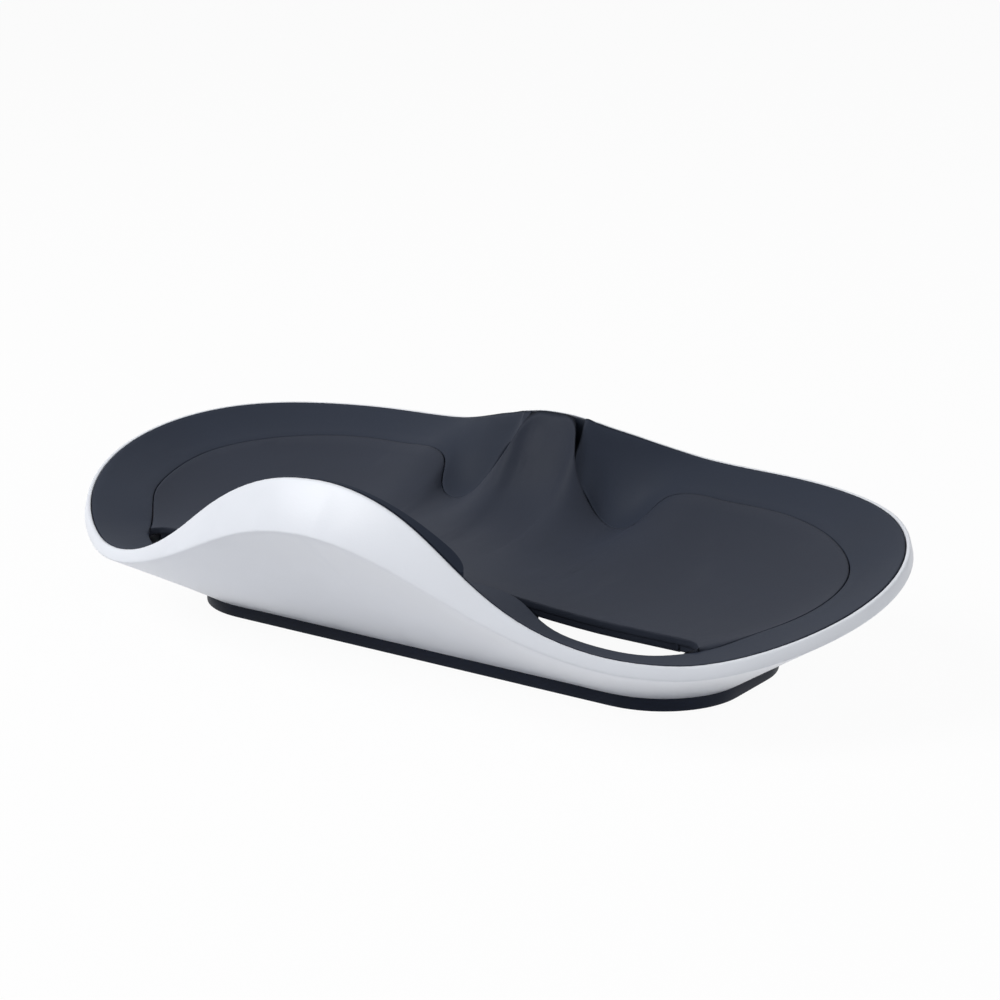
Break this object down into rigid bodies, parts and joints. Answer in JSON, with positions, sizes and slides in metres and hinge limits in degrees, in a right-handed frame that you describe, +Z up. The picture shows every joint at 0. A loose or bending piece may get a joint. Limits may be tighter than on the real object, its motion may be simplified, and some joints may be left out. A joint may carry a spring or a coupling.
{
  "type": "controller charging station",
  "caption": "Low two-lobed tray with a white shell, a dark dished lining and a raised front hump, on a flat oval-ended base: two game controllers rest in its bowls and charge.",
  "frame": {"origin": "middle of the bounding box in plan, on the table under the feet", "axes": "+X to the right seen from the front, where the hump is; +Y to the back, where the power inlet is; +Z up"},
  "size_m": [0.2952, 0.1554, 0.069],
  "materials": {
    "white_shell": "satin white moulding",
    "dark_lining": "fine satin, near black",
    "dark_floor": "fine satin, near black",
    "soft_pad": "matte",
    "base_plastic": "matte black",
    "screw_steel": "plain steel",
    "foot_rubber": "matte",
    "socket_plastic": "semi gloss black",
    "insulator": "matte black",
    "pin_gold": "gold plated",
    "inlet_plastic": "matte black",
    "carrier_plastic": "matte",
    "board_green": "solder resist",
    "chip_plastic": "matte black",
    "cover_plastic": "matte",
    "lead_sleeve": "smooth sleeve"
  },
  "bodies": {
    "root": {"outer_shell": "white_shell", "lining": "dark_lining", "floor_panel": "dark_floor", "hump_pad": "soft_pad", "base_frame": "base_plastic", "base_screws": "screw_steel", "front_foot_left": "foot_rubber", "front_foot_right": "foot_rubber", "rear_foot_left": "foot_rubber", "rear_foot_right": "foot_rubber", "socket_left": "socket_plastic", "socket_right": "socket_plastic", "contact_block_left": "insulator", "contact_block_right": "insulator", "contact_pins_left": "pin_gold", "contact_pins_right": "pin_gold", "power_inlet": "inlet_plastic", "board_carrier": "carrier_plastic", "main_board": "board_green", "board_screws": "screw_steel", "board_parts": "chip_plastic", "bay_cover": "cover_plastic", "lead_left": "lead_sleeve", "lead_right": "lead_sleeve", "inlet_lead": "lead_sleeve"}
  },
  "joints": []
}
